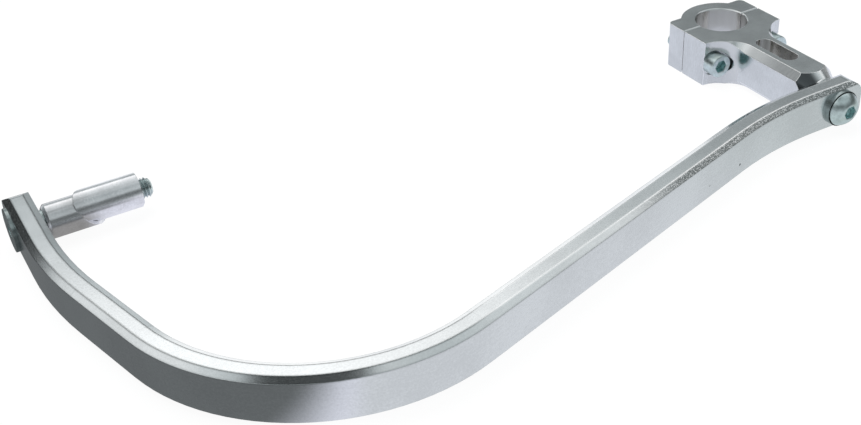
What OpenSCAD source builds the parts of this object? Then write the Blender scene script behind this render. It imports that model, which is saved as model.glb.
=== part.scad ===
// Motorcycle hand guard: a bent aluminium bar, carried by a short arm with a two piece
// handlebar clamp at one end and by an expanding plug for the handlebar's end at the other.
// Millimetres. The origin is the centre of the clamp's bore, +Z runs along that bore,
// the arm points to -Y and the plug points to +X.

/* [Guard bar] */
// Height of the bar
bar_h = 18; // [15:0.5:24]
// Thickness of the bar
bar_t = 10; // [8.5:0.5:14]
// Width of each edge bevel, across the thickness
edge_w = 2.5; // [1:0.1:3]
// Height of each edge bevel
edge_h = 1.3; // [0.6:0.1:2.5]
// Radius of the rounded corners at both ends
end_r = 6; // [2:0.5:7]

/* [Bends of the bar] */
// Straight end, from the pivot screw to the end of the bar
pivot_to_end = 11.2; // [9:0.1:16]
// Straight stretch, from the pivot screw to the first bend
pivot_to_bend = 10.9; // [9:0.1:20]
// Radius of the first bend, at the middle of the bar
back_r = 154.4; // [80:0.2:220]
// Angle of the first bend
back_a = 17.1; // [5:0.1:25]
// Long straight stretch in front of the fingers
reach_l = 146.3; // [80:0.1:200]
// Radius of the knuckle bend, at the middle of the bar
knuckle_r = 74.1; // [50:0.1:100]
// Angle of the knuckle bend
knuckle_a = 92.3; // [80:0.1:98]
// Straight stretch between the knuckle bend and the last bend
side_l = 34.4; // [10:0.1:60]
// Radius of the last bend, at the middle of the bar
last_r = 148.7; // [80:0.1:220]
// Straight stretch, from the last bend to the plug's bolt
plug_to_bend = 23.9; // [9.5:0.1:40]
// Straight end, from the plug's bolt to the end of the bar
plug_to_end = 11.9; // [9:0.1:18]

/* [Clamp] */
// Bore of the clamp, for the handlebar
bore_d = 22.2; // [19:0.1:24]
// Bevel around both mouths of the bore
bore_edge = 0.4; // [0.2:0.1:1]
// Height of the clamp and the arm
clamp_h = 20; // [16:0.5:28]
// Width of each ear beside the bore
ear_w = 9.4; // [8:0.1:14]
// Wall around the bore on the cap
cap_wall = 6.3; // [4.5:0.1:8]
// Depth of the cap's ears
cap_ear_l = 11.3; // [8:0.1:14]
// Radius of the corners of the cap's ears
cap_ear_r = 2.4; // [1:0.1:4]
// Depth of the body's ears
body_ear_l = 14.3; // [12:0.1:18]
// Gap between cap and body
split_gap = 0.4; // [0.3:0.1:1.5]
// Bevel along the split, on the flat sides of the clamp
split_edge = 0.4; // [0.2:0.1:1]

/* [Arm] */
// Length from the bore's centre to the bar
arm_l = 63.5; // [60:0.5:90]
// Width of the arm
arm_w = 18.5; // [16:0.5:20]
// Bevel along the arm's four long edges
arm_edge = 3; // [1:0.1:3.5]
// Width of the slot through the arm
slot_w = 7.6; // [4:0.1:9]
// Length of the slot
slot_l = 22.2; // [14:0.1:24]
// Distance from the bore's centre to the slot
slot_y = 24.4; // [20:0.1:27]
// Diameter of the round nose against the bar
nose_d = 16; // [13:0.1:17]
// Length of the nose before its cone
nose_l = 0.6; // [0.3:0.1:2]
// Slope of the nose's cone, radius gained for each millimetre
nose_slope = 0.61; // [0.4:0.01:1]

/* [Clamp screws] */
// Thread diameter of the clamp screws
clamp_screw_d = 6; // [5:0.5:6]
// Head diameter of the clamp screws
clamp_head_d = 10; // [8.5:0.5:10.5]
// Head height of the clamp screws
clamp_head_h = 6; // [4:0.5:7]
// Hexagon key of the clamp screws
clamp_key = 5; // [3:0.5:6]
// Length of the thread that stands out of the cap
clamp_screw_out = 2.5; // [0.5:0.1:4]
// Radius of the seat milled for each head
seat_r = 5.8; // [5.4:0.1:7]
// Depth of the seat in the ear's face
seat_l = 0.4; // [0.3:0.1:2]

/* [Pivot screw and plug bolt] */
// Thread diameter of the pivot screw and the plug's bolt
bolt_d = 8; // [6:0.5:8]
// Hexagon key of both
bolt_key = 5; // [4:0.5:5.5]
// Diameter of the pivot screw's button head
pivot_head_d = 14; // [12:0.1:15]
// Height of the pivot screw's button head
pivot_head_h = 4.4; // [3.5:0.1:5.5]
// Outer diameter of the pivot screw's washer
washer_d = 15; // [14.5:0.1:17]
// Thickness of the pivot screw's washer
washer_t = 1.8; // [1:0.1:2.5]
// Thread length of the pivot screw inside the arm
pivot_grip = 13.4; // [9:0.2:15]
// Outer diameter of the cup washer under the plug bolt's sunk head
cup_d = 17; // [16:0.1:17.8]
// Thickness of the cup washer
cup_t = 1.3; // [1:0.1:2]
// Diameter of the plug bolt's sunk head
sunk_head_d = 14.6; // [13:0.1:15]
// Length of the thread that stands out of the plug
bolt_out = 5; // [1:0.5:8]

/* [Bar end plug] */
// Outer diameter of the plug
plug_d = 13.7; // [12.5:0.1:16]
// Length of the plug, sleeve and wedge together
plug_l = 36.7; // [30:0.1:60]
// Free play of the loose plug between its sleeve and the bar
plug_gap = 1.7; // [0.2:0.1:2.5]
// Distance from the sleeve's end to the middle of the slanted cut
cut_x = 16.8; // [13:0.1:22]
// Slope of the slanted cut, length gained for each millimetre of height
cut_slope = 0.85; // [0.4:0.05:1]
// Turn of the cut about the bolt, from +Y towards -Z
cut_turn = 48; // [0:1:90]
// How far the sleeve has slipped down in front of the wedge
slip_z = 1.3; // [0:0.1:1.6]
// Bore of the sleeve, wide enough to let it slip
sleeve_bore_d = 10.9; // [9:0.1:11.5]
// Bevel at the sleeve's end against the bar
sleeve_edge = 1.1; // [0.3:0.1:1.3]
// Depth of the flat along the wedge
flat_depth = 0.6; // [0.2:0.1:1.2]
// Turn of that flat about the bolt, from below towards -Y
flat_turn = -45; // [-90:1:90]

/* [Clearances] */
// Radial clearance of a screw in its thread
thread_gap = 0.05; // [0.02:0.01:0.15]
// Radial clearance of a screw in a plain hole or washer
hole_gap = 0.3; // [0.2:0.05:0.5]
// Depth of each hexagon key's socket, as a share of the head's height
socket_share = 0.55; // [0.4:0.05:0.65]

/* [Hidden] */
$fa = 3;
$fs = 0.35;
// How far a cut runs past a face
over = 1;
// How far a bend reaches into its neighbours, and how much slimmer it is drawn
lap = 0.05;
hair = 0.01;
bore_r = bore_d / 2;
cap_r = bore_r + cap_wall;
clamp_w = bore_d + 2 * ear_w;
// Each clamp screw stands in the middle of its ear
screw_x = bore_r + ear_w / 2;
plug_r = plug_d / 2;
// The fillet from the ears to the arm fills the corner between them
fillet_r = (clamp_w - arm_w) / 2;
fillet_x = clamp_w / 2;
fillet_y = -body_ear_l - fillet_r;
// The cutter of the arm's bevels swings out of the fillet on a smaller circle
cutter_r = fillet_r * 0.86;
cutter_x = arm_w / 2 - arm_edge + cutter_r;
cutter_y = fillet_y - fillet_r * 0.14;
seat_y = -body_ear_l + seat_l;
// The last bend brings the bar's end square to its pivot end
last_a = 90 + back_a - knuckle_a;
// Each stretch of the bar is [length, 0] or [radius, angle], a left turn being positive
STRETCHES = [
    [pivot_to_end + pivot_to_bend, 0],
    [back_r, back_a],
    [reach_l, 0],
    [knuckle_r, -knuckle_a],
    [side_l, 0],
    [last_r, -last_a],
    [plug_to_bend + plug_to_end, 0]];
BAR_Y = -arm_l - bar_t / 2;
BAR_START = [pivot_to_end, BAR_Y, 180];
// Where a pose [x, y, heading] comes to after one stretch
function side(a) = a > 0 ? 1 : -1;
function after_line(p, l) = [p[0] + l * cos(p[2]), p[1] + l * sin(p[2]), p[2]];
function after_bend(p, r, a) = [
    p[0] + side(a) * r * (sin(p[2] + a) - sin(p[2])),
    p[1] - side(a) * r * (cos(p[2] + a) - cos(p[2])),
    p[2] + a];
function after(p, s) = s[1] == 0 ? after_line(p, s[0]) : after_bend(p, s[0], s[1]);
function pose(i) = i == 0 ? BAR_START : after(pose(i - 1), STRETCHES[i - 1]);
BAR_TIP = pose(len(STRETCHES));
plug_y = BAR_TIP[1] - plug_to_end;
outer_x = BAR_TIP[0] - bar_t / 2;
inner_x = BAR_TIP[0] + bar_t / 2;
outer_y = BAR_Y - bar_t / 2;
sleeve_x = inner_x + plug_gap;
cup_x = outer_x - cup_t;
socket_r = bolt_key / sqrt(3);

// Section of the bar, flat faces with a shallow bevel at each of the four edges
module bar_section(slim) {
    polygon([for (c = [[1, 1], [-1, 1], [-1, -1], [1, -1]])
        for (k = c[0] * c[1] > 0 ? [0, 1] : [1, 0])
            [c[0] * (bar_t / 2 - slim - edge_w * k), c[1] * (bar_h / 2 - slim - edge_h * (1 - k))]]);
}

module straight_stretch(l) {
    rotate([90, 0, 90]) linear_extrude(l) bar_section(0);
}

// A bend reaches a little into its neighbours and is a hair slimmer, so that all join well
module bent_stretch(r, a, slim) {
    more = lap / r * 180 / PI;
    translate([0, side(a) * r, 0])
        rotate([0, 0, (a > 0 ? -90 : 90 + a) - more])
            rotate_extrude(angle = abs(a) + 2 * more, $fa = 1) translate([r, 0]) bar_section(slim);
}

module at_pose(p) {
    translate([p[0], p[1], 0]) rotate([0, 0, p[2]]) children();
}

// Everything past the corner circles of an end that faces +X here
module end_corners() {
    difference() {
        translate([-end_r, -bar_t, -bar_h]) cube([end_r + over, 2 * bar_t, 2 * bar_h]);
        for (s = [-1, 1])
            translate([-end_r, 0, s * (bar_h / 2 - end_r)]) rotate([90, 0, 0])
                cylinder(r = end_r, h = 3 * bar_t, center = true);
        translate([-2 * end_r, -1.5 * bar_t, -bar_h / 2 + end_r])
            cube([2 * end_r, 3 * bar_t, bar_h - 2 * end_r]);
    }
}

// The whole bar, with a hole for the pivot screw and one for the plug's bolt
module guard_bar() {
    color("gainsboro") difference() {
        for (i = [0:len(STRETCHES) - 1])
            at_pose(pose(i))
                if (STRETCHES[i][1] == 0) straight_stretch(STRETCHES[i][0]);
                else bent_stretch(STRETCHES[i][0], STRETCHES[i][1], hair);
        translate([pivot_to_end, BAR_Y, 0]) end_corners();
        at_pose(BAR_TIP) end_corners();
        translate([0, BAR_Y, 0]) rotate([90, 0, 0])
            cylinder(d = bolt_d + 2 * hole_gap, h = bar_t + 2 * over, center = true);
        translate([BAR_TIP[0], plug_y, 0]) rotate([0, 90, 0])
            cylinder(d = bolt_d + 2 * hole_gap, h = bar_t + 2 * over, center = true);
        sunk_cone(thread_gap);
    }
}

// The cone of the plug bolt's sunk head, from the cup washer's outer face inwards
module sunk_cone(gap) {
    r = sunk_head_d / 2 + gap;
    translate([cup_x, plug_y, 0]) rotate([0, 90, 0]) cylinder(r1 = r, r2 = 0, h = r);
}

// The bore with its bevelled mouths
module bore_cut() {
    cylinder(r = bore_r, h = clamp_h + 2 * over, center = true);
    for (s = [-1, 1])
        translate([0, 0, s * (clamp_h / 2 - bore_edge)]) rotate([s > 0 ? 0 : 180, 0, 0])
            cylinder(r1 = bore_r, r2 = bore_r + bore_edge + over, h = bore_edge + over);
}

module body_outline() {
    difference() {
        union() {
            translate([-clamp_w / 2, -body_ear_l]) square([clamp_w, body_ear_l - split_gap / 2]);
            translate([-clamp_w / 2, fillet_y]) square([clamp_w, fillet_r + over]);
            translate([-arm_w / 2, -arm_l]) square([arm_w, arm_l - body_ear_l]);
        }
        for (s = [-1, 1]) translate([s * fillet_x, fillet_y]) circle(r = fillet_r);
    }
}

// A round ended slot through the arm, which saves weight
module slot_cut() {
    for (y = [-slot_y - slot_w / 2, -slot_y - slot_l + slot_w / 2])
        translate([0, y, 0]) cylinder(d = slot_w, h = clamp_h + 2 * over, center = true);
    translate([-slot_w / 2, -slot_y - slot_l + slot_w / 2, -clamp_h / 2 - over])
        cube([slot_w, slot_l - slot_w, clamp_h + 2 * over]);
}

// The bevelling cutter along one long edge of the arm: a straight pass that ends in a cone
module edge_cut() {
    low = arm_edge + over;
    translate([arm_w / 2 - arm_edge, cutter_y, clamp_h / 2]) rotate([90, 0, 0])
        linear_extrude(arm_l + cutter_y + over)
            polygon([[-over, over], [low, -low], [low + over, over]]);
    translate([cutter_x, cutter_y, clamp_h / 2 - cutter_r])
        cylinder(r1 = 0, r2 = cutter_r + over, h = cutter_r + over);
}

// The turned end of the arm: a short round nose and a cone behind it
module nose_shape() {
    back = 2 * clamp_h;
    translate([0, -arm_l, 0]) rotate([-90, 0, 0]) {
        cylinder(d = nose_d, h = nose_l + 0.01);
        translate([0, 0, nose_l]) cylinder(r1 = nose_d / 2, r2 = nose_d / 2 + back * nose_slope, h = back);
        translate([0, 0, nose_l + back]) cylinder(r = nose_d / 2 + back * nose_slope, h = arm_l);
    }
}

// Round seat for one screw head, sunk into the ear's face and the fillet beside it
module seat_cut() {
    deep = fillet_r + over;
    translate([screw_x, seat_y, 0]) rotate([90, 0, 0]) cylinder(r = seat_r, h = deep);
    translate([screw_x, 0, 0]) rotate([90, 0, 0])
        cylinder(d = clamp_screw_d + 2 * hole_gap, h = body_ear_l + over);
}

// Two prisms that bevel the split's edges on both flat sides
module split_bevels() {
    e = (split_gap / 2 + split_edge) * sqrt(2);
    for (s = [-1, 1]) translate([0, 0, s * clamp_h / 2]) rotate([45, 0, 0])
        cube([clamp_w + 2 * over, e, e], center = true);
}

// The arm side of the clamp, with the arm in one piece with it
module clamp_body() {
    color("lightgray") difference() {
        intersection() {
            translate([0, 0, -clamp_h / 2]) linear_extrude(clamp_h) body_outline();
            nose_shape();
        }
        bore_cut();
        slot_cut();
        for (x = [0, 1], z = [0, 1]) mirror([x, 0, 0]) mirror([0, 0, z]) edge_cut();
        for (x = [0, 1]) mirror([x, 0, 0]) seat_cut();
        split_bevels();
        translate([0, -arm_l - over, 0]) rotate([-90, 0, 0])
            cylinder(d = bolt_d, h = pivot_grip + 2 * over);
    }
}

module cap_outline() {
    in_x = clamp_w / 2 - cap_ear_r;
    in_y = cap_ear_l - cap_ear_r;
    difference() {
        union() {
            circle(r = cap_r);
            translate([-clamp_w / 2, 0]) square([clamp_w, in_y]);
            translate([-in_x, 0]) square([2 * in_x, cap_ear_l]);
            for (s = [-1, 1]) translate([s * in_x, in_y]) circle(r = cap_ear_r);
        }
        translate([-clamp_w, -2 * cap_r]) square([2 * clamp_w, 2 * cap_r + split_gap / 2]);
    }
}

// The loose half of the clamp, with a threaded hole in each ear
module clamp_cap() {
    color("lightgray") difference() {
        translate([0, 0, -clamp_h / 2]) linear_extrude(clamp_h) cap_outline();
        bore_cut();
        for (s = [-1, 1]) translate([s * screw_x, 0, 0]) rotate([-90, 0, 0])
            cylinder(d = clamp_screw_d, h = cap_ear_l + over);
        split_bevels();
    }
}

// A cap screw that points to +Z, its head's underside at the origin
module cap_screw(d, l) {
    bevel = clamp_head_d * 0.05;
    difference() {
        rotate_extrude() polygon([[0, -clamp_head_h], [clamp_head_d / 2 - bevel, -clamp_head_h],
            [clamp_head_d / 2, -clamp_head_h + bevel], [clamp_head_d / 2, 0],
            [d / 2 - thread_gap, 0], [d / 2 - thread_gap, l - d / 8], [d / 2 - d / 8, l], [0, l]]);
        translate([0, 0, -clamp_head_h - over])
            cylinder(r = clamp_key / sqrt(3), h = over + clamp_head_h * socket_share, $fn = 6);
    }
}

module clamp_screw(s) {
    l = cap_ear_l + clamp_screw_out - seat_y;
    color("silver") translate([s * screw_x, seat_y, 0]) rotate([-90, 0, 0])
        cap_screw(clamp_screw_d, l);
}

module clamp_screw_left() { clamp_screw(-1); }

module clamp_screw_right() { clamp_screw(1); }

// A threaded shank of this length that points to +Z, with a bevelled end
module shank(l) {
    cylinder(r = bolt_d / 2 - thread_gap, h = l - bolt_d / 8);
    translate([0, 0, l - bolt_d / 8])
        cylinder(r1 = bolt_d / 2 - thread_gap, r2 = bolt_d / 2 - bolt_d / 8, h = bolt_d / 8);
}

// The button head screw that the arm swivels about
module pivot_screw() {
    dome_r = (pow(pivot_head_d / 2, 2) + pow(pivot_head_h, 2)) / (2 * pivot_head_h);
    foot = pivot_head_h * 0.14;
    color("silver") translate([0, outer_y - washer_t, 0]) rotate([-90, 0, 0]) difference() {
        union() {
            intersection() {
                translate([0, 0, dome_r - pivot_head_h - foot]) sphere(r = dome_r);
                translate([0, 0, -pivot_head_h]) cylinder(d = pivot_head_d, h = pivot_head_h);
            }
            shank(washer_t + bar_t + pivot_grip);
        }
        translate([0, 0, -pivot_head_h - over])
            cylinder(r = socket_r, h = over + pivot_head_h * socket_share, $fn = 6);
    }
}

module pivot_washer() {
    color("silver") translate([0, outer_y - washer_t, 0]) rotate([-90, 0, 0]) difference() {
        cylinder(d = washer_d, h = washer_t);
        translate([0, 0, -over]) cylinder(d = bolt_d + 2 * hole_gap, h = washer_t + 2 * over);
    }
}

// The bolt that draws the plug together, its head sunk level with the cup washer
module bar_end_bolt() {
    color("silver") difference() {
        union() {
            sunk_cone(0);
            translate([cup_x, plug_y, 0]) rotate([0, 90, 0])
                shank(cup_t + bar_t + plug_gap + plug_l + bolt_out);
        }
        translate([cup_x - over, plug_y, 0]) rotate([0, 90, 0])
            cylinder(r = socket_r, h = over + sunk_head_d / 2 * 0.4, $fn = 6);
    }
}

module bar_end_washer() {
    color("silver") difference() {
        translate([cup_x, plug_y, 0]) rotate([0, 90, 0]) cylinder(d = cup_d, h = cup_t);
        sunk_cone(thread_gap);
    }
}

// The space on the wedge's side of the slanted cut
module wedge_side() {
    slant = atan(cut_slope);
    translate([sleeve_x + cut_x, plug_y, 0]) rotate([-cut_turn, 0, 0]) rotate([0, 0, -slant])
        translate([0, -plug_l, -plug_l]) cube(2 * plug_l);
}

// The tube half of the plug, next to the bar
module plug_sleeve() {
    color("silver") difference() {
        translate([sleeve_x, plug_y, -slip_z]) rotate([0, 90, 0]) {
            cylinder(r1 = plug_r - sleeve_edge, r2 = plug_r, h = sleeve_edge);
            translate([0, 0, sleeve_edge]) cylinder(r = plug_r, h = plug_l - sleeve_edge);
        }
        translate([sleeve_x - over, plug_y, -slip_z]) rotate([0, 90, 0])
            cylinder(d = sleeve_bore_d, h = plug_l + 2 * over);
        wedge_side();
    }
}

// The threaded half of the plug, which the bolt draws up the slanted cut
module plug_wedge() {
    color("silver") difference() {
        intersection() {
            translate([sleeve_x, plug_y, 0]) rotate([0, 90, 0]) cylinder(r = plug_r, h = plug_l);
            wedge_side();
        }
        translate([sleeve_x - over, plug_y, 0]) rotate([0, 90, 0])
            cylinder(d = bolt_d, h = plug_l + 2 * over);
        translate([sleeve_x - over, plug_y, 0]) rotate([flat_turn, 0, 0])
            translate([0, -plug_d, -plug_r - plug_d + flat_depth]) cube([plug_l + 2 * over, 2 * plug_d, plug_d]);
    }
}

guard_bar();
clamp_body();
clamp_cap();
clamp_screw_left();
clamp_screw_right();
pivot_screw();
pivot_washer();
plug_sleeve();
plug_wedge();
bar_end_bolt();
bar_end_washer();
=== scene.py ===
"""Looks of a motorcycle hand guard: satin aluminium bar, split clamp on an arm, zinc screws."""

import math

import bmesh
import bpy
from mathutils import Matrix, Vector


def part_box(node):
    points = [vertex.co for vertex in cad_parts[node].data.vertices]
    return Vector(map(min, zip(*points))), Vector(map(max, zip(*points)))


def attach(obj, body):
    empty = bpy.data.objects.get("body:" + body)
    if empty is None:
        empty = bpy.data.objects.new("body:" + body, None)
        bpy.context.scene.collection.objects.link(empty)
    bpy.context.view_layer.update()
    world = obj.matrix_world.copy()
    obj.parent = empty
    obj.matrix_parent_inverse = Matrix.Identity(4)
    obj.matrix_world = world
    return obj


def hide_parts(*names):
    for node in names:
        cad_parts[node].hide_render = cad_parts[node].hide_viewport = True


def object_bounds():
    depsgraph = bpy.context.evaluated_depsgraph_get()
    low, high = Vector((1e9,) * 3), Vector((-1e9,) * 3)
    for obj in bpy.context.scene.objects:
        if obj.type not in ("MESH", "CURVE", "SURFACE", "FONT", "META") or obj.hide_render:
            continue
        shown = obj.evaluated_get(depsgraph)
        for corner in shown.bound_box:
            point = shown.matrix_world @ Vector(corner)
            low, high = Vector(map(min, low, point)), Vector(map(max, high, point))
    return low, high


bl_info = {
    "name": "Hand Guard Looks",
    "version": (1, 0, 0),
    "blender": (4, 5, 0),
    "location": "3D View > Sidebar > Hand Guard",
    "description": "Dresses a packed motorcycle hand guard with its finishes, screws and studio",
    "category": "Object",
}

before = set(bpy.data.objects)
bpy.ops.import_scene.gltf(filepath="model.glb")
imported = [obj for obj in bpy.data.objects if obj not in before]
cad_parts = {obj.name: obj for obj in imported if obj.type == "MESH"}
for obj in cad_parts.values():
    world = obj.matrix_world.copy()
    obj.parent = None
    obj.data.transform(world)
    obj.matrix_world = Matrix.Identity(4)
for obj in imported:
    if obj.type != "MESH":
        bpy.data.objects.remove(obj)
CAD_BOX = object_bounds()
MM = 0.001


# Shader maths


class Wire:
    """A shader socket that takes part in Python expressions."""

    def __init__(self, tree, socket):
        self.tree = tree
        self.socket = socket

    def math(self, operation, *values):
        return node(self.tree, "ShaderNodeMath", {"operation": operation}, *values)["Value"]

    def __add__(self, other):
        return self.math("ADD", self, other)

    def __radd__(self, other):
        return self.math("ADD", other, self)

    def __sub__(self, other):
        return self.math("SUBTRACT", self, other)

    def __rsub__(self, other):
        return self.math("SUBTRACT", other, self)

    def __mul__(self, other):
        return self.math("MULTIPLY", self, other)

    def __rmul__(self, other):
        return self.math("MULTIPLY", other, self)

    def __neg__(self):
        return 0.0 - self

    def __abs__(self):
        return self.math("ABSOLUTE", self)

    def root(self):
        return self.math("SQRT", self)

    def between(self, low, high):
        """0 below low, 1 above high, smooth from one to the other."""
        ends = {"From Min": low, "From Max": high}
        settings = {"interpolation_type": "SMOOTHSTEP"}
        return node(self.tree, "ShaderNodeMapRange", settings, Value=self, **ends)["Result"]


class Outputs:
    """The output sockets of a new node, by name."""

    def __init__(self, tree, made):
        self.tree = tree
        self.made = made

    def __getitem__(self, name):
        return Wire(self.tree, self.made.outputs[name])


def feed(tree, socket, value):
    """Links a wire to a socket, or sets a plain value on it."""
    if isinstance(value, Wire):
        tree.links.new(value.socket, socket)
    else:
        socket.default_value = value


def node(tree, kind, settings, *inputs, **named):
    """Adds a node: its settings first, then values or wires for its sockets."""
    made = tree.nodes.new(kind)
    for name, value in settings.items():
        if name == "stops":
            ramp = made.color_ramp
            while len(ramp.elements) < len(value):
                ramp.elements.new(0.5)
            for element, (position, shade) in zip(ramp.elements, value):
                element.position = position
                element.color = shade
        else:
            setattr(made, name, value)
    for socket, value in zip(made.inputs, inputs):
        feed(tree, socket, value)
    for name, value in named.items():
        feed(tree, made.inputs[name], value)
    return Outputs(tree, made)


def colour(rgb, gain=1.0):
    """An opaque colour, brighter or darker by a gain."""
    return (rgb[0] * gain, rgb[1] * gain, rgb[2] * gain, 1.0)


def mixed(tree, factor, low, high):
    """A colour between two colours."""
    made = node(tree, "ShaderNodeMix", {"data_type": "RGBA", "clamp_factor": True}).made
    sockets = {socket.identifier: socket for socket in made.inputs}
    for key, value in (("Factor_Float", factor), ("A_Color", low), ("B_Color", high)):
        feed(tree, sockets[key], value)
    return Wire(tree, next(s for s in made.outputs if s.identifier == "Result_Color"))


def layered(tree, tint, layers):
    """A tint with (mask, colour) layers laid over it in order."""
    for mask, rgb in layers:
        tint = mixed(tree, mask, tint, colour(rgb))
    return tint


def new_material(name):
    """A material and its node tree, still empty."""
    material = bpy.data.materials.new(name)
    material.use_nodes = True
    material.node_tree.nodes.clear()
    return material, material.node_tree


def show(tree, kind, shader):
    """Sends a shader to the output node of a material or of the world."""
    node(tree, kind, {}, Surface=shader)


def metal(tree, tint, metallic, roughness, **more):
    """The principled shader of a finish, shown on the surface."""
    sockets = {"Base Color": tint, "Metallic": metallic, "Roughness": roughness, **more}
    show(tree, "ShaderNodeOutputMaterial", node(tree, "ShaderNodeBsdfPrincipled", {}, **sockets)["BSDF"])


def place(tree, scale=(1.0, 1.0, 1.0), shift=(0.0, 0.0, 0.0)):
    """Object coordinates, moved and stretched for one pattern."""
    coords = node(tree, "ShaderNodeTexCoord", {})["Object"]
    moved = node(tree, "ShaderNodeMapping", {"vector_type": "TEXTURE"}, Vector=coords, Location=shift)
    return node(tree, "ShaderNodeVectorMath", {"operation": "MULTIPLY"}, moved["Vector"], scale)["Vector"]


def place_by_axis(tree):
    """Object coordinates in metres, by the name of their axis."""
    return node(tree, "ShaderNodeSeparateXYZ", {}, node(tree, "ShaderNodeTexCoord", {})["Object"])


def facing_by_axis(tree):
    """How far a face looks along each axis, by its name."""
    return node(tree, "ShaderNodeSeparateXYZ", {}, node(tree, "ShaderNodeNewGeometry", {})["True Normal"])


def dot(tree, first, second):
    """1 for two directions that agree, 0 for two at right angles."""
    return node(tree, "ShaderNodeVectorMath", {"operation": "DOT_PRODUCT"}, first, second)["Value"]


def noise(tree, vector, size, detail, rough):
    """Noise whose grains are about this size in metres."""
    values = {"Vector": vector, "Scale": 1.0 / size, "Detail": detail, "Roughness": rough}
    return node(tree, "ShaderNodeTexNoise", {}, **values)["Fac"]


def softened(tree, radius):
    """The normal of a surface whose edges have this radius."""
    return node(tree, "ShaderNodeBevel", {"samples": 6}, Radius=radius)["Normal"]


def relief(tree, height, depth, edge):
    """A bump of this depth in metres over softly rounded edges."""
    values = {"Strength": 1.0, "Distance": depth, "Height": height, "Normal": softened(tree, edge)}
    return node(tree, "ShaderNodeBump", {}, **values)["Normal"]


# Finishes

# Depth in metres of a finish's grain, and of the finer rings that turning leaves
GRAIN_DEPTH = 0.000006
RING_DEPTH = 0.000002
# Small dark specks on the bar's front face: their place, radius and strength
SPECKS = (((-0.0572, -0.0809, -0.0034), 0.0005, 0.9), ((-0.0768, -0.0869, -0.0028), 0.0004, 0.35))
# Radius of the edge within which a face counts as a ridge, on the bar and on the clamp
BAR_RIDGE = 0.0012
CLAMP_RIDGE = 0.0003
# Heights at which the upper bevel's ridges fade in: its upper one, and its lower one up to a limit
UPPER_RIDGE = (0.0086, 0.0089)
LOWER_RIDGE = (0.006, 0.0066)
OVER_LOWER_RIDGE = (0.008, 0.0084)
# Stretch along X, a third of the way from the plug, over which the upper ridge's painted dark line turns into
# a painted white highlight
RIDGE_TURN = (-0.205, -0.185)
# The clamp's bore and the arm's slot, along -Y, each with the short way over which its mask fades
BORE_REACH = (0.01125, 0.0114)
SLOT_HALF_WIDTH = (0.00395, 0.0042)
SLOT_START = (0.0238, 0.0242)
SLOT_END = (0.0468, 0.0472)
# Where the nose begins along -Y, and how far a face looks that way to be part of its cone
NOSE_START = (0.045, 0.05)
NOSE_SLOPE = (0.35, 0.45)
# Side of the nose that a point lies on, from its middle outwards
NOSE_SIDE = (0.0005, 0.004)
# Where the sleeve begins along -X, on the way from the wedge to the bar
SLEEVE_START = (0.276, 0.284)


def ridges(tree, radius):
    """1 along the sharp edges of a piece, 0 on its flats."""
    flat = node(tree, "ShaderNodeNewGeometry", {})["True Normal"]
    same = dot(tree, softened(tree, radius), flat)
    return (1.0 - same).between(0.001, 0.008)


def front_bevel(tree):
    """1 on the bar's upper front bevel from the long straight's middle to the clamp, less by the plug."""
    at, facing = place_by_axis(tree), facing_by_axis(tree)
    sloped = facing["Z"].between(0.6, 0.75) * (1.0 - facing["Z"].between(0.93, 0.98))
    by_clamp = (-facing["Y"]).between(0.2, 0.35) * at["X"].between(-0.13, -0.09)
    by_plug = (-facing["X"]).between(0.25, 0.35) * at["Y"].between(-0.004, 0.01) * 0.55
    return sloped * (by_clamp + by_plug)


def specks(tree, here):
    """The layers of the small dark specks on the bar."""
    layers = []
    for spot, radius, strength in SPECKS:
        gap = node(tree, "ShaderNodeVectorMath", {"operation": "DISTANCE"}, here, spot)["Value"]
        layers.append(((1.0 - gap.between(radius * 0.8, radius * 1.3)) * strength, (0.03, 0.03, 0.03)))
    return layers


def anodised_bar(look):
    """Clear anodised aluminium: fine satin grain, a few small marks, painted highlight and shade on the
    bevel's ridges.
    """
    material, tree = new_material("bar_anodised_aluminium")
    here = place(tree)
    at = place_by_axis(tree)
    grain = noise(tree, here, 0.00045, 2.0, 0.6)
    clouds = noise(tree, here, 0.035, 3.0, 0.55)
    streaks = noise(tree, place(tree, (1.0, 1.0, 9.0)), 0.006, 3.0, 0.6)
    frost = noise(tree, here, 0.0008, 3.0, 0.7)
    tone = (clouds * 0.4 + streaks * 0.15 + frost * 0.45).between(0.38, 0.62)
    marks = noise(tree, place(tree, shift=(0.013, 0.004, 0.002)), 0.0022, 0.0, 0.0).between(0.86, 0.9)
    coarse = front_bevel(tree) * noise(tree, here, 0.0005, 3.0, 0.75).between(0.37, 0.51)
    ridge = ridges(tree, BAR_RIDGE)
    upper = ridge * at["Z"].between(*UPPER_RIDGE)
    lower = ridge * (1.0 - at["Z"].between(*OVER_LOWER_RIDGE)) * at["Z"].between(*LOWER_RIDGE)
    highlight_to_clamp = at["X"].between(*RIDGE_TURN)
    tint = mixed(tree, tone, colour(look.bar_tint, 0.92), colour(look.bar_tint, 1.06))
    tint = layered(tree, tint, [
        (marks * 0.5, (0.2, 0.19, 0.18)),
        (coarse * 0.92, (0.1, 0.115, 0.115)),
        # Painted highlight: the upper ridge white towards the clamp. Painted shade: a dark line on it
        # elsewhere, a fainter one on the lower ridge
        (upper * highlight_to_clamp, (1.0, 1.0, 1.0)),
        (upper * (1.0 - highlight_to_clamp) * 0.8, (0.16, 0.17, 0.17)),
        (lower * 0.25, (0.14, 0.15, 0.15)),
    ] + specks(tree, here))
    roughness = look.bar_gloss + (grain - 0.5) * 0.12 + (clouds - 0.5) * 0.06
    metal(tree, tint, 1.0, roughness, Normal=relief(tree, grain, GRAIN_DEPTH, look.edge_round))
    return material


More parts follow.
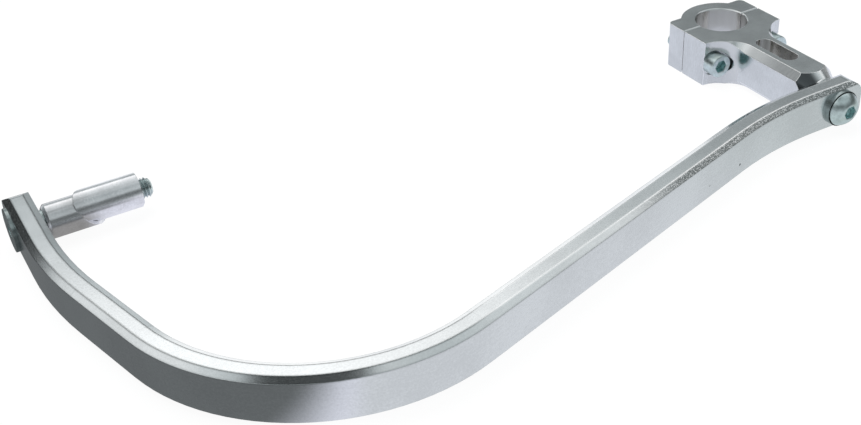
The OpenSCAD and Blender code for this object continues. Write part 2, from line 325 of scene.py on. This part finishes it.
def bore_and_slot_walls(tree):
    """1 on the walls of the bore and of the slot, whose tint is darker and warmer."""
    at, facing = place_by_axis(tree), facing_by_axis(tree)
    upright = 1.0 - (facing["Z"] * facing["Z"]).between(0.1, 0.3)
    reach = (at["X"] * at["X"] + at["Y"] * at["Y"]).root()
    bore = 1.0 - reach.between(*BORE_REACH)
    along = (-at["Y"]).between(*SLOT_START) * (1.0 - (-at["Y"]).between(*SLOT_END))
    slot = (1.0 - abs(at["X"]).between(*SLOT_HALF_WIDTH)) * along
    return (bore + slot * (1.0 - bore)) * upright


def machined_clamp(look):
    """Milled and lightly tumbled aluminium, a shade darker than the bar.

    Painted shade darkens the arm's bevel and the nose's left; painted light pales the nose's right, the sharp
    edges and the hollow between ear and arm.
    """
    material, tree = new_material("clamp_machined_aluminium")
    here = place(tree)
    at, facing = place_by_axis(tree), facing_by_axis(tree)
    grain = noise(tree, here, 0.0005, 2.0, 0.6)
    clouds = noise(tree, here, 0.012, 3.0, 0.55)
    lines = noise(tree, place(tree, (0.25, 6.0, 1.0)), 0.0022, 2.0, 0.6)
    tone = (clouds * 0.5 + lines * 0.3 + grain * 0.2).between(0.36, 0.64)
    strips = noise(tree, place(tree, (1.0, 1.0, 0.02)), 0.0042, 1.0, 0.5).between(0.35, 0.65)
    warm = mixed(tree, strips, colour((0.54, 0.53, 0.5)), colour((0.69, 0.68, 0.65)))
    # Painted shade on the arm's bevel, darker further along the arm towards the nose, in streaks
    arm_bevel = facing["Z"].between(0.5, 0.65) * (-facing["X"]).between(0.5, 0.65)
    arm_shade_ramp = (-at["Y"]).between(0.024, 0.031) * 0.4 + (-at["Y"]).between(0.031, 0.05) * 0.32
    arm_painted_shade = arm_shade_ramp * (0.7 + lines * 0.6)
    # The nose's cone: painted shade on its left side, a painted white highlight on its right, where it is
    # also less metallic
    cone = (-facing["Y"]).between(*NOSE_SLOPE) * (-at["Y"]).between(*NOSE_START)
    nose_painted_shade = cone * (-at["X"]).between(*NOSE_SIDE)
    nose_painted_highlight = cone * at["X"].between(*NOSE_SIDE)
    nose_highlight_matte = cone * at["X"].between(0.001, 0.004)
    # Painted light: a paler, less metallic tint on the outward faces of the hollow between ear and arm
    outward = (-facing["X"]).between(0.1, 0.25) * (-facing["Y"]).between(0.1, 0.25)
    corner = at["Y"].between(-0.036, -0.03) * outward * (1.0 - facing["Z"].between(0.1, 0.3))
    tint = mixed(tree, tone, colour(look.clamp_tint, 0.9), colour(look.clamp_tint, 1.05))
    tint = mixed(tree, bore_and_slot_walls(tree) * 0.85, tint, warm)
    tint = layered(tree, tint, [
        (arm_bevel * arm_painted_shade, (0.14, 0.15, 0.155)),
        (nose_painted_shade * 0.93, (0.07, 0.08, 0.085)),
        (nose_painted_highlight, (1.0, 1.0, 1.0)),
        (corner * 0.8, (0.9, 0.91, 0.94)),
        # Painted highlight: white along the clamp's sharp edges
        (ridges(tree, CLAMP_RIDGE) * 0.9, (1.0, 1.0, 1.0)),
    ])
    roughness = look.clamp_gloss + (grain - 0.5) * 0.1 + (clouds - 0.5) * 0.06
    milled = relief(tree, grain * 0.7 + lines * 0.3, GRAIN_DEPTH, look.edge_round)
    # Less metal where painted light lies, on the nose's right and in the hollow, so that the pale tint shows
    metal(tree, tint, 1.0 - nose_highlight_matte * 0.4 - corner * 0.5, roughness, Normal=milled)
    return material


def turned_plug(look):
    """Turned bright metal with fine rings around the plug's axis, its sleeve a little darker."""
    material, tree = new_material("plug_turned_metal")
    here = place(tree)
    rings = noise(tree, place(tree, (1.0, 0.02, 0.02)), 0.00035, 2.0, 0.7)
    clouds = noise(tree, here, 0.009, 2.0, 0.5)
    speckle = noise(tree, here, 0.0007, 2.0, 0.7)
    tone = (clouds * 0.5 + rings * 0.2 + speckle * 0.3).between(0.36, 0.64)
    sleeve = (-place_by_axis(tree)["X"]).between(*SLEEVE_START)
    tint = mixed(tree, tone, colour(look.plug_tint, 0.88), colour(look.plug_tint, 1.1))
    tint = layered(tree, tint, [(sleeve * 0.2, (0.42, 0.41, 0.4))])
    roughness = look.plug_gloss + (rings - 0.5) * 0.12 + (speckle - 0.5) * 0.08
    metal(tree, tint, 1.0, roughness, Normal=relief(tree, rings, RING_DEPTH, look.edge_round))
    return material


def zinc_plating(look, name, share, gloss, face=None):
    """Zinc plated steel: cool, slightly blue and green, faintly mottled.

    share dims its tint; below 1 the dimming is painted shade. The outer face of a washer, looking against the
    axis named by face, is painted dark as its shade.
    """
    material, tree = new_material(name)
    here = place(tree)
    mottle = noise(tree, here, 0.0022, 3.0, 0.6)
    grain = noise(tree, here, 0.0003, 1.0, 0.5)
    greenish = noise(tree, here, 0.005, 1.0, 0.5).between(0.5, 0.7) * 0.4
    darker, brighter = colour(look.zinc_tint, 0.86 * share), colour(look.zinc_tint, 1.06 * share)
    tint = mixed(tree, mottle.between(0.38, 0.62), darker, brighter)
    tint = mixed(tree, greenish, tint, colour((0.6, 0.66, 0.6), share))
    if face:
        # Painted shade: the washer's outer face dark
        face_painted_shade = (-facing_by_axis(tree)[face]).between(0.7, 0.9)
        tint = layered(tree, tint, [(face_painted_shade, (0.03, 0.035, 0.035))])
    roughness = gloss + (mottle - 0.5) * 0.18
    metal(tree, tint, 1.0, roughness, Normal=relief(tree, grain, GRAIN_DEPTH, look.edge_round))
    return material


def sockets_painted_shade():
    """The blue green inside of the key sockets, duller than the zinc: painted shade in the recess."""
    material, tree = new_material("socket_painted_shade_zinc")
    patches = noise(tree, place(tree), 0.0012, 2.0, 0.6)
    tint = mixed(tree, patches.between(0.35, 0.65), colour((0.36, 0.54, 0.54)), colour((0.7, 0.92, 0.92)))
    metal(tree, tint, 0.8, 0.35 + patches * 0.2)
    return material


def dress(names, material):
    """Gives CAD nodes a finish in place of their plain one."""
    for name in names:
        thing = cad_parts[name]
        thing.data.materials.clear()
        thing.data.materials.append(material)


# Screws

# Steps round a screw, the same in its head and its key socket, so that their rings join
TURNS = 96
# Steps over half a domed head
DOME_STEPS = 12
# Width of every screw's key across its flats, and the socket's rim as a share of it
KEY = 5 * MM
RIM = KEY * 0.66
# Bevel at the socket's mouth: how far it widens and how deep it goes
MOUTH_GROW = KEY * 0.045
MOUTH_DEPTH = 0.25 * MM
# Drop of the socket's coned floor
FLOOR_DROP = KEY * 0.16
# Depth of a socket as a share of the head's height, or of a sunk head's radius
SOCKET_SHARE = 0.55
SUNK_SHARE = 0.4
# Heads and shanks: the clamp's cap screws, the pivot's button screw and the plug's bolt
CAP_R = 5 * MM
CAP_H = 6 * MM
CAP_ROUND = 0.45 * MM
CAP_SHANK_R = 2.95 * MM
BUTTON_R = 7 * MM
BUTTON_H = 4.4 * MM
BOLT_SHANK_R = 3.95 * MM
PIVOT_THREAD = 12 * MM
# Steps of a thread in one turn
THREAD_STEPS = 40
# A thread's depth and half its crest and half its root, as shares of its pitch
THREAD_DEPTH = 0.54
HALF_CREST = 0.06
HALF_ROOT = 0.46


def lathe(work, outline):
    """Spins an outline of (along, out) points about +Z into a closed shell."""
    points = [work.verts.new((out, 0.0, along)) for along, out in outline]
    edges = [work.edges.new(pair) for pair in zip(points, points[1:])]
    bmesh.ops.spin(
        work, geom=points + edges, cent=(0, 0, 0), axis=(0, 0, 1), angle=math.tau, steps=TURNS, use_merge=True
    )
    bmesh.ops.remove_doubles(work, verts=work.verts, dist=1e-7)


def hexagon_reach(angle):
    """Distance from the centre to the side of the key's hexagon at an angle."""
    sector = math.tau / 6
    return KEY / 2 / math.cos((angle % sector) - sector / 2)


def ring(work, level, reach):
    """A closed ring of edges at a level; reach gives its radius at an angle."""
    made = bmesh.ops.create_circle(work, cap_ends=False, segments=TURNS, radius=1.0)["verts"]
    for v in made:
        angle = math.atan2(v.co.y, v.co.x)
        out = reach(angle)
        v.co = Vector((out * math.cos(angle), out * math.sin(angle), level))
    return list(dict.fromkeys(e for v in made for e in v.link_edges))


def key_socket(work, depth, top):
    """A six sided socket sunk from the plane at top: a rim, bevelled mouth, walls and a coned floor."""
    rings = [
        ring(work, top, lambda angle: RIM),
        ring(work, top, lambda angle: hexagon_reach(angle) + MOUTH_GROW),
        ring(work, top + MOUTH_DEPTH, hexagon_reach),
        ring(work, top + depth, hexagon_reach),
    ]
    for upper, lower in zip(rings, rings[1:]):
        bmesh.ops.bridge_loops(work, edges=upper + lower)
    floor = bmesh.ops.extrude_edge_only(work, edges=rings[-1])["geom"]
    for part in floor:
        if isinstance(part, bmesh.types.BMVert):
            part.co = Vector((0.0, 0.0, top + depth + FLOOR_DROP))
    bmesh.ops.remove_doubles(work, verts=work.verts, dist=1e-6)
    # The walls and the floor, below the mouth and within the hexagon's corners, take the second finish, the
    # sockets' painted shade
    for face in work.faces:
        middle = face.calc_center_median()
        inside = math.hypot(middle.x, middle.y) < KEY * 0.57
        if inside and top + 0.3 * MM < middle.z < top + depth + KEY * 0.2:
            face.material_index = 1


def thread(work, radius, pitch, start, stop):
    """A ridge wound along +Z whose crest stays inside the screw's radius."""
    root_r = radius - pitch * THREAD_DEPTH
    shape = [
        (radius, start + pitch * HALF_CREST),
        (radius, start - pitch * HALF_CREST),
        (root_r, start - pitch * HALF_ROOT),
        (root_r, start + pitch * HALF_ROOT),
    ]
    verts = [work.verts.new((out, 0.0, along)) for out, along in shape]
    face = work.faces.new(verts)
    turns = (stop - start) / pitch
    bmesh.ops.spin(
        work,
        geom=[face] + list(face.edges) + verts,
        cent=(0, 0, 0),
        axis=(0, 0, 1),
        dvec=(0, 0, pitch / THREAD_STEPS),
        angle=math.tau * turns,
        steps=int(round(THREAD_STEPS * turns)),
        use_merge=False,
    )
    # The crest runs out to the core over the first and the last fifth of a turn
    for v in work.verts:
        out = math.hypot(v.co.x, v.co.y)
        left = min(v.co.z - start, stop - v.co.z) / pitch + HALF_CREST
        if out > radius - pitch * THREAD_DEPTH * 0.2 and -0.01 < left < 0.2:
            shrink = (radius - pitch * THREAD_DEPTH * (1.0 - max(left, 0.0) * 5)) / out
            v.co.x, v.co.y = v.co.x * shrink, v.co.y * shrink


class Shaft:
    """A screw's shank along +Z, from its head to its tip."""

    def __init__(self, radius, length, pitch, threaded):
        self.radius = radius
        self.length = length
        self.pitch = pitch
        self.neck = length - threaded

    def outline(self, start=0.0):
        """Its (along, out) points, drawn in to the thread's core where it is threaded."""
        slope = 0.5 * self.pitch
        core = self.radius - 0.5 * self.pitch
        tip = core - 0.6 * self.pitch
        plain = [(start, self.radius), (self.neck, self.radius), (self.neck + slope, core)]
        return plain + [(self.length - slope, core), (self.length, tip), (self.length, 0.0)]

    def wind(self, work):
        """Winds its thread from just past the neck to just short of the tip."""
        start, stop = self.neck + 0.6 * self.pitch, self.length - 0.7 * self.pitch
        thread(work, self.radius, self.pitch, start, stop)


def rounded(points, corner, steps=4):
    """An outline of (along, out) points with its inner corners rounded."""
    outline = [points[0]]
    for before, here, after in zip(points, points[1:], points[2:]):
        back = Vector(before) - Vector(here)
        ahead = Vector(after) - Vector(here)
        cut = min(corner, back.length * 0.45, ahead.length * 0.45)
        first = Vector(here) + back.normalized() * cut
        last = Vector(here) + ahead.normalized() * cut
        for i in range(steps + 1):
            t = i / steps
            point = first * (1 - t) ** 2 + Vector(here) * 2 * t * (1 - t) + last * t * t
            outline.append((point.x, point.y))
    outline.append(points[-1])
    return outline


def cap_head():
    """Outline of a socket cap head, from its socket's rim to its underside at 0."""
    return [(-CAP_H, RIM), (-CAP_H, CAP_R), (0.0, CAP_R)]


def button_head():
    """Outline of a domed head, from its socket's rim to its underside at 0."""
    foot = BUTTON_H * 0.14
    dome_r = (BUTTON_R**2 + BUTTON_H**2) / (2 * BUTTON_H)
    centre = dome_r - BUTTON_H - foot
    outline = []
    for i in range(DOME_STEPS + 1):
        out = RIM + (BUTTON_R - RIM) * math.sin(i / DOME_STEPS * math.pi / 2)
        outline.append((max(-BUTTON_H, centre - math.sqrt(dome_r**2 - out**2)), out))
    return outline + [(-0.05 * MM, BUTTON_R), (0.0, BUTTON_R - 0.1 * MM)]


def sunk_head(head_r):
    """Outline of a coned head's flat face at 0 and its blunted edge; its cone runs on to the shank."""
    return [(0.0, RIM), (0.0, head_r - 0.12 * MM), (0.12 * MM, head_r - 0.14 * MM)]


def make_screw(name, base, along, outline, depth, shaft, material):
    """Spins a screw, sinks its key socket and winds its thread, then turns it into its place."""
    work = bmesh.new()
    lathe(work, outline)
    key_socket(work, depth, outline[0][0])
    shaft.wind(work)
    bmesh.ops.recalc_face_normals(work, faces=work.faces)
    turned = Vector((0, 0, 1)).rotation_difference(Vector(along)).to_matrix().to_4x4()
    bmesh.ops.transform(work, matrix=Matrix.Translation(base) @ turned, verts=work.verts)
    mesh = bpy.data.meshes.new(name)
    work.to_mesh(mesh)
    work.free()
    mesh.set_sharp_from_angle(angle=math.radians(32))
    for polygon in mesh.polygons:
        polygon.use_smooth = True
    mesh.materials.append(material)
    mesh.materials.append(bpy.data.materials["socket_painted_shade_zinc"])
    thing = bpy.data.objects.new(name, mesh)
    bpy.context.scene.collection.objects.link(thing)
    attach(thing, "root")
    return thing


# Panel values


class GuardFinishValues(bpy.types.PropertyGroup):
    bar_tint: bpy.props.FloatVectorProperty(
        name="Bar Tint", description="Colour of the bar's anodised aluminium", subtype="COLOR",
        default=(0.745, 0.767, 0.775), min=0.0, max=1.0, size=3)
    clamp_tint: bpy.props.FloatVectorProperty(
        name="Clamp Tint", description="Colour of the clamp and its arm", subtype="COLOR",
        default=(0.735, 0.757, 0.762), min=0.0, max=1.0, size=3)
    plug_tint: bpy.props.FloatVectorProperty(
        name="Plug Tint", description="Colour of the bar end plug", subtype="COLOR",
        default=(0.8, 0.81, 0.83), min=0.0, max=1.0, size=3)
    zinc_tint: bpy.props.FloatVectorProperty(
        name="Zinc Tint", description="Colour of the plated screws and washers", subtype="COLOR",
        default=(0.66, 0.76, 0.765), min=0.0, max=1.0, size=3)
    bar_gloss: bpy.props.FloatProperty(
        name="Bar Roughness", description="Roughness of the bar", default=0.17, min=0.05, max=0.9,
        subtype="FACTOR")
    clamp_gloss: bpy.props.FloatProperty(
        name="Clamp Roughness", description="Roughness of the clamp", default=0.17, min=0.05, max=0.9,
        subtype="FACTOR")
    plug_gloss: bpy.props.FloatProperty(
        name="Plug Roughness", description="Roughness of the plug", default=0.24, min=0.05, max=0.9,
        subtype="FACTOR")
    zinc_gloss: bpy.props.FloatProperty(
        name="Zinc Roughness", description="Roughness of the screws", default=0.33, min=0.05, max=0.9,
        subtype="FACTOR")
    edge_round: bpy.props.FloatProperty(
        name="Edge Rounding", description="Radius of the softened metal edges", default=0.0003, min=0.00005,
        max=0.001, subtype="DISTANCE", unit="LENGTH")


class GuardScrewValues(bpy.types.PropertyGroup):
    small_pitch: bpy.props.FloatProperty(
        name="Clamp Screw Pitch", description="Thread pitch of the clamp screws", default=0.001, min=0.0005,
        max=0.002, subtype="DISTANCE", unit="LENGTH")
    large_pitch: bpy.props.FloatProperty(
        name="Bolt Pitch", description="Thread pitch of the pivot screw and the plug's bolt",
        default=0.00125, min=0.0005, max=0.002, subtype="DISTANCE", unit="LENGTH")
    small_thread: bpy.props.FloatProperty(
        name="Clamp Screw Thread", description="Threaded length of the clamp screws", default=0.016,
        min=0.005, max=0.025, subtype="DISTANCE", unit="LENGTH")
    large_thread: bpy.props.FloatProperty(
        name="Bolt Thread", description="Threaded length of the plug's bolt", default=0.022, min=0.005,
        max=0.04, subtype="DISTANCE", unit="LENGTH")


class GuardStudioValues(bpy.types.PropertyGroup):
    lens: bpy.props.FloatProperty(
        name="Focal Length", description="Lens of the studio camera in millimetres", default=53.706,
        min=20, max=200)
    eye: bpy.props.FloatVectorProperty(
        name="Camera Place", description="Where the camera stands", size=3, subtype="TRANSLATION",
        unit="LENGTH", default=(-0.35187, -0.39412, 0.26088))
    pitch: bpy.props.FloatProperty(
        name="Camera Pitch", description="How far the camera looks down", subtype="ANGLE", unit="ROTATION",
        default=math.radians(33.829))
    heading: bpy.props.FloatProperty(
        name="Camera Heading", description="Turn of the camera from +Y towards +X", subtype="ANGLE",
        unit="ROTATION", default=math.radians(27.169))
    roll: bpy.props.FloatProperty(
        name="Camera Roll", description="Turn of the camera about its view", subtype="ANGLE", unit="ROTATION",
        default=math.radians(-3.751))
    sky: bpy.props.FloatProperty(
        name="Sky Strength", description="Brightness of the studio's soft light", default=1.0, min=0.0,
        max=3.0)
    lamp: bpy.props.FloatProperty(
        name="Lamp Power", description="Power of the large soft lamp in watts", default=2.2, min=0.0,
        max=100.0)


# Operators


class OBJECT_OT_dress_guard_bar(bpy.types.Operator):
    """Gives the bent bar its anodised finish"""

    bl_idname = "hand_guard.dress_bar"
    bl_label = "Dress Guard Bar"

    def execute(self, context):
        dress(["guard_bar"], anodised_bar(context.scene.hand_guard_finish))
        return {"FINISHED"}


class OBJECT_OT_dress_clamp(bpy.types.Operator):
    """Gives the clamp's body, arm and cap their machined finish"""

    bl_idname = "hand_guard.dress_clamp"
    bl_label = "Dress Clamp"

    def execute(self, context):
        dress(["clamp_body", "clamp_cap"], machined_clamp(context.scene.hand_guard_finish))
        return {"FINISHED"}


class OBJECT_OT_dress_plug(bpy.types.Operator):
    """Gives the expanding plug's two halves their turned finish"""

    bl_idname = "hand_guard.dress_plug"
    bl_label = "Dress Bar End Plug"

    def execute(self, context):
        dress(["plug_sleeve", "plug_wedge"], turned_plug(context.scene.hand_guard_finish))
        return {"FINISHED"}


class OBJECT_OT_make_screws(bpy.types.Operator):
    """Makes the threaded screws with their key sockets, and plates the washers"""

    bl_idname = "hand_guard.make_screws"
    bl_label = "Make Screws"

    def execute(self, context):
        look = context.scene.hand_guard_finish
        values = context.scene.hand_guard_screws
        zinc = zinc_plating(look, "zinc_plated_steel", 1.0, look.zinc_gloss)
        # Darker copies of the zinc stand for shade: painted shade on the plug's bolt, the cup washer and the
        # pivot washer
        bolt = zinc_plating(look, "zinc_plated_bar_end_painted_shade", 0.75, 0.26)
        sockets_painted_shade()
        dress(["pivot_washer"], zinc_plating(look, "zinc_plated_washer_painted_shade", 0.62, look.zinc_gloss, "Y"))
        dress(["bar_end_washer"], zinc_plating(look, "zinc_plated_cup_painted_shade", 0.55, 0.24))
        for name in ("clamp_screw_left", "clamp_screw_right"):
            low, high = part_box(name)
            base = ((low[0] + high[0]) / 2, low[1] + CAP_H, 0.0)
            shaft = Shaft(CAP_SHANK_R, high[1] - base[1], values.small_pitch, values.small_thread)
            outline = rounded(cap_head() + shaft.outline(), CAP_ROUND)
            made = make_screw(name + "_look", base, (0, 1, 0), outline, CAP_H * SOCKET_SHARE, shaft, zinc)
            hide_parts(name)
        low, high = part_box("pivot_screw")
        base = (0.0, low[1] + BUTTON_H, 0.0)
        shaft = Shaft(BOLT_SHANK_R, high[1] - base[1], values.large_pitch, PIVOT_THREAD)
        outline = button_head() + shaft.outline()
        depth = BUTTON_H * SOCKET_SHARE
        made = make_screw("pivot_screw_look", base, (0, 1, 0), outline, depth, shaft, zinc)
        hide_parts("pivot_screw")
        low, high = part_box("bar_end_bolt")
        base = (low[0], (low[1] + high[1]) / 2, 0.0)
        head_r = (high[1] - low[1]) / 2
        shaft = Shaft(BOLT_SHANK_R, high[0] - base[0], values.large_pitch, values.large_thread)
        outline = sunk_head(head_r) + shaft.outline(head_r - BOLT_SHANK_R)
        depth = head_r * SUNK_SHARE
        made = make_screw("bar_end_bolt_look", base, (1, 0, 0), outline, depth, shaft, bolt)
        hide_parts("bar_end_bolt")
        return {"FINISHED"}


class OBJECT_OT_make_studio(bpy.types.Operator):
    """Sets up the pale floor, the soft light and the camera"""

    bl_idname = "hand_guard.make_studio"
    bl_label = "Make Studio"

    def execute(self, context):
        values = context.scene.hand_guard_studio
        make_floor()
        make_sky(values)
        make_lamp(values)
        make_camera(values)
        context.scene.view_settings.view_transform = "Standard"
        return {"FINISHED"}


# Stage

# Half the width of the floor, and the gap that keeps it clear of the part
FLOOR_REACH = 4.0
FLOOR_GAP = 0.0002
# What shiny surfaces see of the floor in front of the part, from the plug's side to the clamp's
FRONT_LEFT = (0.77, 0.79, 0.83)
FRONT_RIGHT = (0.64, 0.68, 0.69)
# Brightness of the sky by height, from the horizon at 0 to straight up at 1
SKY_BY_HEIGHT = (
    (0.0, 0.95), (0.06, 0.75), (0.18, 0.5), (0.3, 0.38), (0.42, 0.3), (0.47, 0.37), (0.5, 0.46), (0.54, 0.6),
    (0.57, 0.78), (0.6, 1.1), (0.635, 1.42), (0.68, 1.25), (0.76, 1.0), (0.84, 0.85), (0.93, 0.7), (1.0, 0.7))
# Its brightness from the far left at 0 to the far right at 1
SKY_BY_SIDE = (
    (0.0, 0.9), (0.25, 0.95), (0.36, 1.0), (0.46, 1.15), (0.57, 1.2), (0.72, 0.88), (0.8, 0.8), (0.9, 0.76),
    (0.96, 0.25), (1.0, 0.2))
# Level that a ramp's white stands for
TOP_LEVEL = 1.5
# Direction of the dark patch almost straight overhead
OVERHEAD = (-0.14, -0.04, 0.989)
LAMP_PLACE = (-0.25, 0.1, 0.9)
LAMP_AIM = (-0.12, -0.05, 0.0)


def make_floor():
    """A wide pale floor just under the part, tinted by zones where shiny surfaces mirror it."""
    work = bmesh.new()
    bmesh.ops.create_grid(work, x_segments=1, y_segments=1, size=FLOOR_REACH)
    bmesh.ops.translate(work, verts=work.verts, vec=(0.0, 0.0, CAD_BOX[0][2] - FLOOR_GAP))
    mesh = bpy.data.meshes.new("studio_floor")
    work.to_mesh(mesh)
    work.free()
    material, tree = new_material("studio_floor_paper")
    spot = place_by_axis(tree)
    path = node(tree, "ShaderNodeLightPath", {})
    paper = node(tree, "ShaderNodeBsdfDiffuse", {}, colour((0.86, 0.86, 0.86)))["BSDF"]
    white = node(tree, "ShaderNodeEmission", {}, colour((1.0, 1.0, 1.0)), 1.08)["Emission"]
    shown = node(tree, "ShaderNodeMixShader", {}, path["Is Camera Ray"] * 0.86, paper, white)["Shader"]
    # Glossy rays see the floor glowing with tints by zone: painted reflections on the shiny parts
    front = mixed(tree, spot["X"].between(-0.12, 0.0), colour(FRONT_LEFT), colour(FRONT_RIGHT))
    leftwards = -spot["X"]
    behind = (spot["Y"] - spot["X"] * 0.6).between(0.06, 0.085)
    short_of_clamp = 1.0 - spot["Y"].between(0.06, 0.08)
    by_clamp = spot["X"].between(-0.09, -0.06) * short_of_clamp * spot["Y"].between(-0.07, -0.06)
    by_plug = leftwards.between(0.237, 0.25)
    by_sleeve = leftwards.between(0.272, 0.284)
    leftmost = leftwards.between(0.3, 0.306)
    outside = leftwards.between(0.245, 0.272) * (-spot["Y"]).between(0.0, 0.01)
    tint = layered(tree, front, [
        (behind, (1.2, 1.2, 1.2)),
        (by_clamp, (0.75, 0.775, 0.86)),
        (by_plug, (0.84, 0.85, 0.94)),
        (by_sleeve, (0.37, 0.365, 0.36)),
        (leftmost + outside * (1.0 - leftmost), (0.16, 0.17, 0.175)),
    ])
    mirrored = node(tree, "ShaderNodeEmission", {}, tint, 1.0)["Emission"]
    last = node(tree, "ShaderNodeMixShader", {}, path["Is Glossy Ray"], shown, mirrored)["Shader"]
    show(tree, "ShaderNodeOutputMaterial", last)
    mesh.materials.append(material)
    floor = bpy.data.objects.new("studio_floor", mesh)
    bpy.context.scene.collection.objects.link(floor)


def grey_steps(tree, along, steps):
    """Grey levels laid out along a wire from 0 to 1; its Math node takes the ramp's grey as a number."""
    stops = [(at, colour((level / TOP_LEVEL,) * 3)) for at, level in steps]
    return node(tree, "ShaderNodeValToRGB", {"stops": stops}, along)["Color"] * TOP_LEVEL


def make_sky(values):
    """Soft light from all around, brightest 40 degrees up, darker towards -Y and overhead."""
    world = bpy.data.worlds.new("studio_sky")
    bpy.context.scene.world = world
    world.use_nodes = True
    tree = world.node_tree
    tree.nodes.clear()
    direction = node(tree, "ShaderNodeTexCoord", {})["Generated"]
    toward = node(tree, "ShaderNodeSeparateXYZ", {}, direction)
    height = toward["Z"]
    band = grey_steps(tree, height, SKY_BY_HEIGHT)
    side = grey_steps(tree, toward["X"] * 0.5 + 0.5, SKY_BY_SIDE)
    leftwards = (-toward["X"]).between(0.2, 0.32) * toward["Y"].between(0.25, 0.4)
    grey = band * side * (1.0 - leftwards) + (height.between(0.46, 0.54) * 0.88 + 0.05) * leftwards
    overhead = dot(tree, direction, OVERHEAD).between(0.955, 0.978)
    grey = grey * (1.0 - overhead * 0.93)
    frontwards = -toward["Y"]
    grey = grey * (1.0 - frontwards.between(0.1, 0.42) * 0.45 - frontwards.between(0.5, 0.8) * 0.12)
    tint = mixed(tree, grey.between(0.55, 1.1), colour((0.92, 1.0, 1.02)), colour((1.0, 1.0, 1.0)))
    soft = node(tree, "ShaderNodeBackground", {}, tint, grey * values.sky)["Background"]
    white = node(tree, "ShaderNodeBackground", {}, colour((1.0, 1.0, 1.0)), 1.0)["Background"]
    to_camera = node(tree, "ShaderNodeLightPath", {})["Is Camera Ray"]
    shown = node(tree, "ShaderNodeMixShader", {}, to_camera, soft, white)["Shader"]
    show(tree, "ShaderNodeOutputWorld", shown)


def make_lamp(values):
    """A large soft lamp high over the bar, for its shadow on the floor."""
    lamp = bpy.data.lights.new("soft_lamp", "AREA")
    lamp.shape = "DISK"
    lamp.size = 0.6
    lamp.energy = values.lamp
    thing = bpy.data.objects.new("soft_lamp", lamp)
    thing.location = LAMP_PLACE
    thing.rotation_euler = (Vector(LAMP_AIM) - thing.location).to_track_quat("-Z", "Y").to_euler()
    thing.visible_glossy = False
    bpy.context.scene.collection.objects.link(thing)


def make_camera(values):
    """The camera of the photograph: it looks down, turned from +Y towards +X, and leans a little."""
    data = bpy.data.cameras.new("studio_camera")
    data.sensor_width = 36.0
    data.lens = values.lens
    data.clip_start = 0.01
    data.clip_end = 20.0
    turn, dip, lean = values.heading, values.pitch, values.roll
    right = Vector((math.cos(turn), -math.sin(turn), 0.0))
    up = Vector((math.sin(turn) * math.sin(dip), math.cos(turn) * math.sin(dip), math.cos(dip)))
    ahead = Vector((math.sin(turn) * math.cos(dip), math.cos(turn) * math.cos(dip), -math.sin(dip)))
    across = math.cos(lean) * right + math.sin(lean) * up
    above = math.cos(lean) * up - math.sin(lean) * right
    camera = bpy.data.objects.new("studio_camera", data)
    axes = Matrix((across, above, -ahead)).transposed().to_4x4()
    camera.matrix_world = Matrix.Translation(values.eye) @ axes
    bpy.context.scene.collection.objects.link(camera)
    bpy.context.scene.camera = camera


# Panel and registration


class VIEW3D_PT_hand_guard(bpy.types.Panel):
    """Lists the finishes, the screws, the studio and the steps that make them"""

    bl_label = "Hand Guard"
    bl_idname = "VIEW3D_PT_hand_guard"
    bl_space_type = "VIEW_3D"
    bl_region_type = "UI"
    bl_category = "Hand Guard"

    def draw(self, context):
        layout = self.layout
        for name in ("hand_guard_finish", "hand_guard_screws", "hand_guard_studio"):
            values = getattr(context.scene, name)
            box = layout.box()
            for key in values.__annotations__:
                box.prop(values, key)
        for operator in STEPS:
            layout.operator(operator.bl_idname)


STEPS = (
    OBJECT_OT_dress_guard_bar,
    OBJECT_OT_dress_clamp,
    OBJECT_OT_dress_plug,
    OBJECT_OT_make_screws,
    OBJECT_OT_make_studio,
)
CLASSES = (GuardFinishValues, GuardScrewValues, GuardStudioValues) + STEPS + (VIEW3D_PT_hand_guard,)


def register():
    for cls in CLASSES:
        bpy.utils.register_class(cls)
    bpy.types.Scene.hand_guard_finish = bpy.props.PointerProperty(type=GuardFinishValues)
    bpy.types.Scene.hand_guard_screws = bpy.props.PointerProperty(type=GuardScrewValues)
    bpy.types.Scene.hand_guard_studio = bpy.props.PointerProperty(type=GuardStudioValues)


def unregister():
    del bpy.types.Scene.hand_guard_studio
    del bpy.types.Scene.hand_guard_screws
    del bpy.types.Scene.hand_guard_finish
    for cls in reversed(CLASSES):
        bpy.utils.unregister_class(cls)


def main():
    register()
    bpy.ops.hand_guard.dress_bar()
    bpy.ops.hand_guard.dress_clamp()
    bpy.ops.hand_guard.dress_plug()
    bpy.ops.hand_guard.make_screws()
    bpy.ops.hand_guard.make_studio()


if __name__ == "__main__":
    main()
